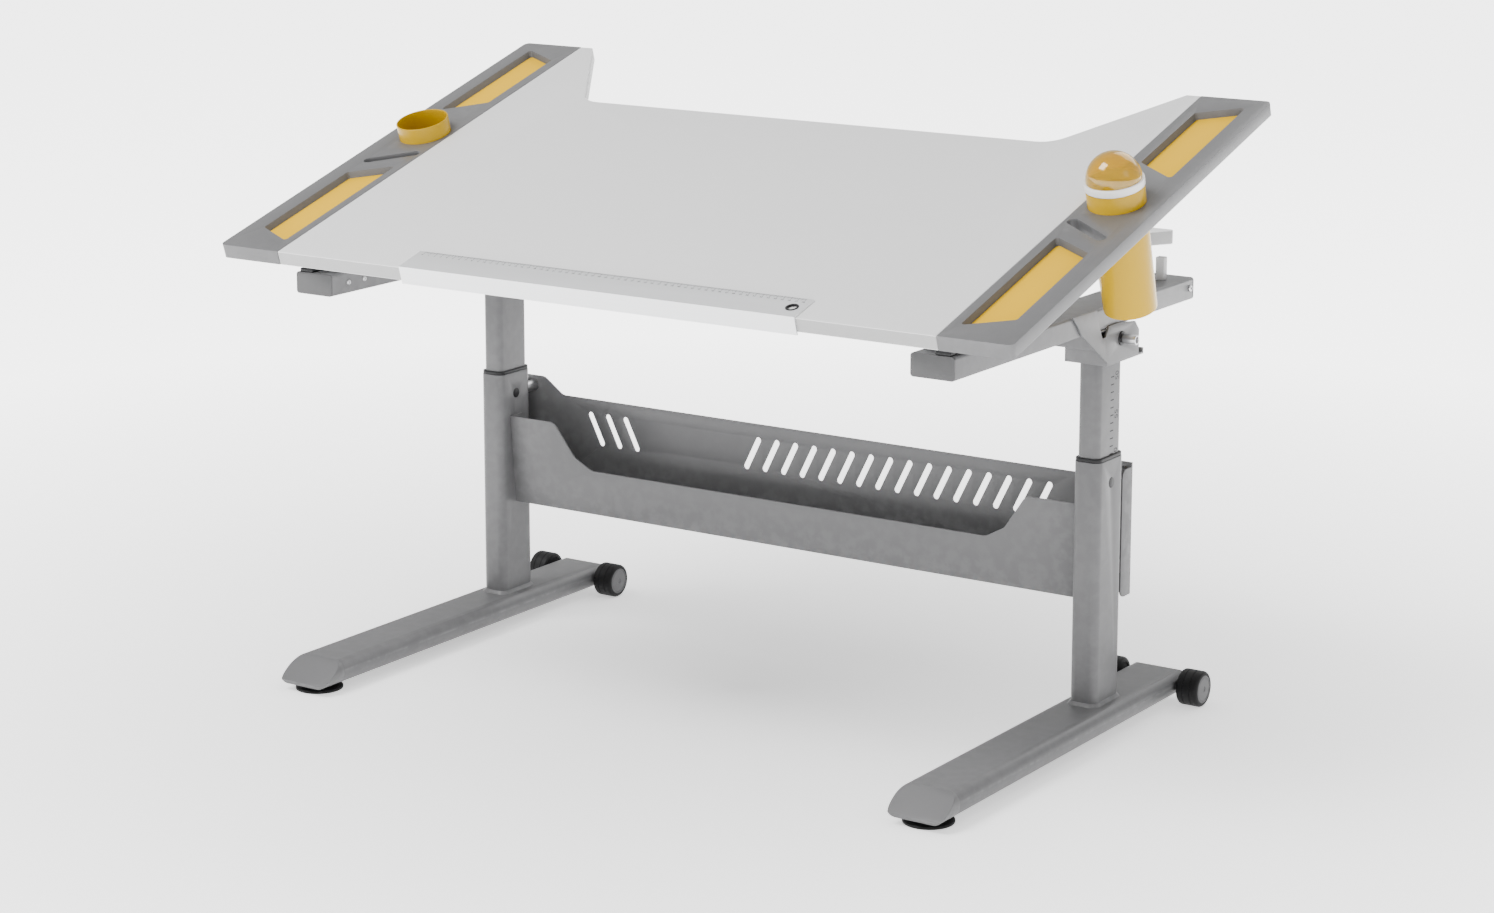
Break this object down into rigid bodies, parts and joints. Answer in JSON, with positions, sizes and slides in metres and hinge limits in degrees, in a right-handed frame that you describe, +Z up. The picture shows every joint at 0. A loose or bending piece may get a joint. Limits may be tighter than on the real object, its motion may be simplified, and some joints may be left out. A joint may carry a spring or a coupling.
{
  "type": "drawing desk",
  "caption": "Height-adjustable drawing desk: a tilting board with organiser side strips, pen cups and a clip-on ruler on a two-column crank-lift frame with a tray between the legs.",
  "frame": {"origin": "centre of the desk's footprint, on the floor", "axes": "+X to the user's right, +Y towards the back of the desk, +Z up"},
  "size_m": [1.2, 0.712, 0.8027],
  "materials": {
    "frame_paint": "satin powder coat",
    "strip_plastic": "satin",
    "board_laminate": "white laminate, matt",
    "shelf_laminate": "white laminate, matt",
    "mat_yellow": "matt",
    "cup_yellow": "gloss",
    "dome_amber": "clear gloss",
    "ring_white": "gloss",
    "ruler_metal": "brushed",
    "black_plastic": "satin",
    "black_rubber": "matt",
    "hub_grey": "satin",
    "post_grey": "satin",
    "steel": "bright",
    "nut_brass": "turned"
  },
  "bodies": {
    "base": {"foot_beam_left": "frame_paint", "foot_beam_right": "frame_paint", "foot_caps": "frame_paint", "foot_studs": "steel", "axle_bushings": "black_plastic", "outer_column_left": "frame_paint", "outer_column_right": "frame_paint", "column_plugs": "black_plastic", "column_collars": "black_plastic", "nut_posts": "steel", "lift_nuts": "nut_brass", "cross_tray": "frame_paint", "tray_spacers": "steel", "tray_bolts": "steel"},
    "foot_pad_left": {"foot_pad_left": "black_rubber"},
    "foot_pad_right": {"foot_pad_right": "black_rubber"},
    "roller_set_left": {"roller_axle_left": "steel", "rollers_left": "black_rubber", "hub_caps_left": "hub_grey"},
    "roller_set_right": {"roller_axle_right": "steel", "rollers_right": "black_rubber", "hub_caps_right": "hub_grey"},
    "lift_frame": {"inner_column_left": "frame_paint", "inner_column_right": "frame_paint", "head_bracket_left": "frame_paint", "head_bracket_right": "frame_paint", "crossbeam": "frame_paint", "rail_left": "frame_paint", "rail_right": "frame_paint", "rail_end_caps": "frame_paint", "rail_screws": "steel", "front_bumpers": "black_plastic", "hinge_blocks": "black_plastic", "rear_shelf": "shelf_laminate", "shelf_brackets": "frame_paint", "rest_posts": "post_grey", "shaft_bushings": "black_plastic", "strut_mounts": "steel"},
    "crank": {"crank_shaft": "steel", "crank_gears": "steel"},
    "lead_screw_left": {"lead_screw_left": "steel"},
    "lead_screw_right": {"lead_screw_right": "steel"},
    "board": {"drawing_board": "board_laminate", "side_strip_left": "strip_plastic", "side_strip_right": "strip_plastic", "tray_mats": "mat_yellow", "joining_plates": "frame_paint", "board_hinges": "steel", "strut_brackets": "frame_paint"},
    "strut_tube_left": {"strut_tube_left": "frame_paint"},
    "strut_tube_right": {"strut_tube_right": "frame_paint"},
    "strut_rod_left": {"strut_rod_left": "steel"},
    "strut_rod_right": {"strut_rod_right": "steel"},
    "pen_cup_left": {"pen_cup_left": "cup_yellow"},
    "pen_cup_right": {"pen_cup_right": "cup_yellow"},
    "cup_lid": {"lid_ring": "ring_white", "lid_dome": "dome_amber"},
    "ruler": {"drawing_ruler": "ruler_metal", "ruler_ring": "black_plastic"}
  },
  "joints": [
    {"name": "height_lift", "type": "slide", "parent": "base", "child": "lift_frame", "axis": [0, 0, 1], "range_m": [-0.05, 0.18]},
    {"name": "crank_turn", "type": "hinge", "parent": "lift_frame", "child": "crank", "pos_m": [0, 0.097, 0.52], "axis": [1, 0, 0], "range_deg": [-6485, 1805]},
    {"name": "screw_left_turn", "type": "hinge", "parent": "lift_frame", "child": "lead_screw_left", "pos_m": [-0.476, 0.097, 0.3], "axis": [0, 0, 1], "range_deg": [-1805, 6485]},
    {"name": "screw_right_turn", "type": "hinge", "parent": "lift_frame", "child": "lead_screw_right", "pos_m": [0.476, 0.097, 0.3], "axis": [0, 0, 1], "range_deg": [-1805, 6485]},
    {"name": "board_tilt", "type": "hinge", "parent": "lift_frame", "child": "board", "pos_m": [0, -0.287, 0.577], "axis": [1, 0, 0], "range_deg": [-17, 3]},
    {"name": "strut_left_swing", "type": "hinge", "parent": "lift_frame", "child": "strut_tube_left", "pos_m": [-0.418, -0.14, 0.548], "axis": [1, 0, 0], "range_deg": [-25, 5]},
    {"name": "strut_left_extend", "type": "slide", "parent": "strut_tube_left", "child": "strut_rod_left", "axis": [0, 0.8563, 0.5165], "range_m": [-0.025, 0.006]},
    {"name": "pen_cup_left_lift", "type": "slide", "parent": "board", "child": "pen_cup_left", "axis": [0, -0.2924, 0.9563], "range_m": [0, 0.17]},
    {"name": "strut_right_swing", "type": "hinge", "parent": "lift_frame", "child": "strut_tube_right", "pos_m": [0.418, -0.14, 0.548], "axis": [1, 0, 0], "range_deg": [-25, 5]},
    {"name": "strut_right_extend", "type": "slide", "parent": "strut_tube_right", "child": "strut_rod_right", "axis": [0, 0.8563, 0.5165], "range_m": [-0.025, 0.006]},
    {"name": "pen_cup_right_lift", "type": "slide", "parent": "board", "child": "pen_cup_right", "axis": [0, -0.2924, 0.9563], "range_m": [0, 0.17]},
    {"name": "cup_lid_lift", "type": "slide", "parent": "pen_cup_right", "child": "cup_lid", "axis": [0, -0.2924, 0.9563], "range_m": [0, 0.06]},
    {"name": "ruler_lift", "type": "slide", "parent": "board", "child": "ruler", "axis": [0, -0.2924, 0.9563], "range_m": [0, 0.03]},
    {"name": "rollers_left_roll", "type": "hinge", "parent": "base", "child": "roller_set_left", "pos_m": [-0.476, 0.265, 0.024], "axis": [1, 0, 0], "continuous": true},
    {"name": "pad_left_turn", "type": "hinge", "parent": "base", "child": "foot_pad_left", "pos_m": [-0.476, -0.318, 0.003], "axis": [0, 0, 1], "continuous": true},
    {"name": "rollers_right_roll", "type": "hinge", "parent": "base", "child": "roller_set_right", "pos_m": [0.476, 0.265, 0.024], "axis": [1, 0, 0], "continuous": true},
    {"name": "pad_right_turn", "type": "hinge", "parent": "base", "child": "foot_pad_right", "pos_m": [0.476, -0.318, 0.003], "axis": [0, 0, 1], "continuous": true}
  ],
  "couplings": [
    {"joint": "crank_turn", "follows": "height_lift", "rad_per_m": -628.32},
    {"joint": "screw_left_turn", "follows": "height_lift", "rad_per_m": 628.32},
    {"joint": "screw_right_turn", "follows": "height_lift", "rad_per_m": 628.32},
    {"joint": "strut_left_swing", "follows": "board_tilt", "ratio": 1.4029},
    {"joint": "strut_left_extend", "follows": "board_tilt", "m_per_rad": 0.0795},
    {"joint": "strut_right_swing", "follows": "board_tilt", "ratio": 1.4029},
    {"joint": "strut_right_extend", "follows": "board_tilt", "m_per_rad": 0.0795}
  ]
}
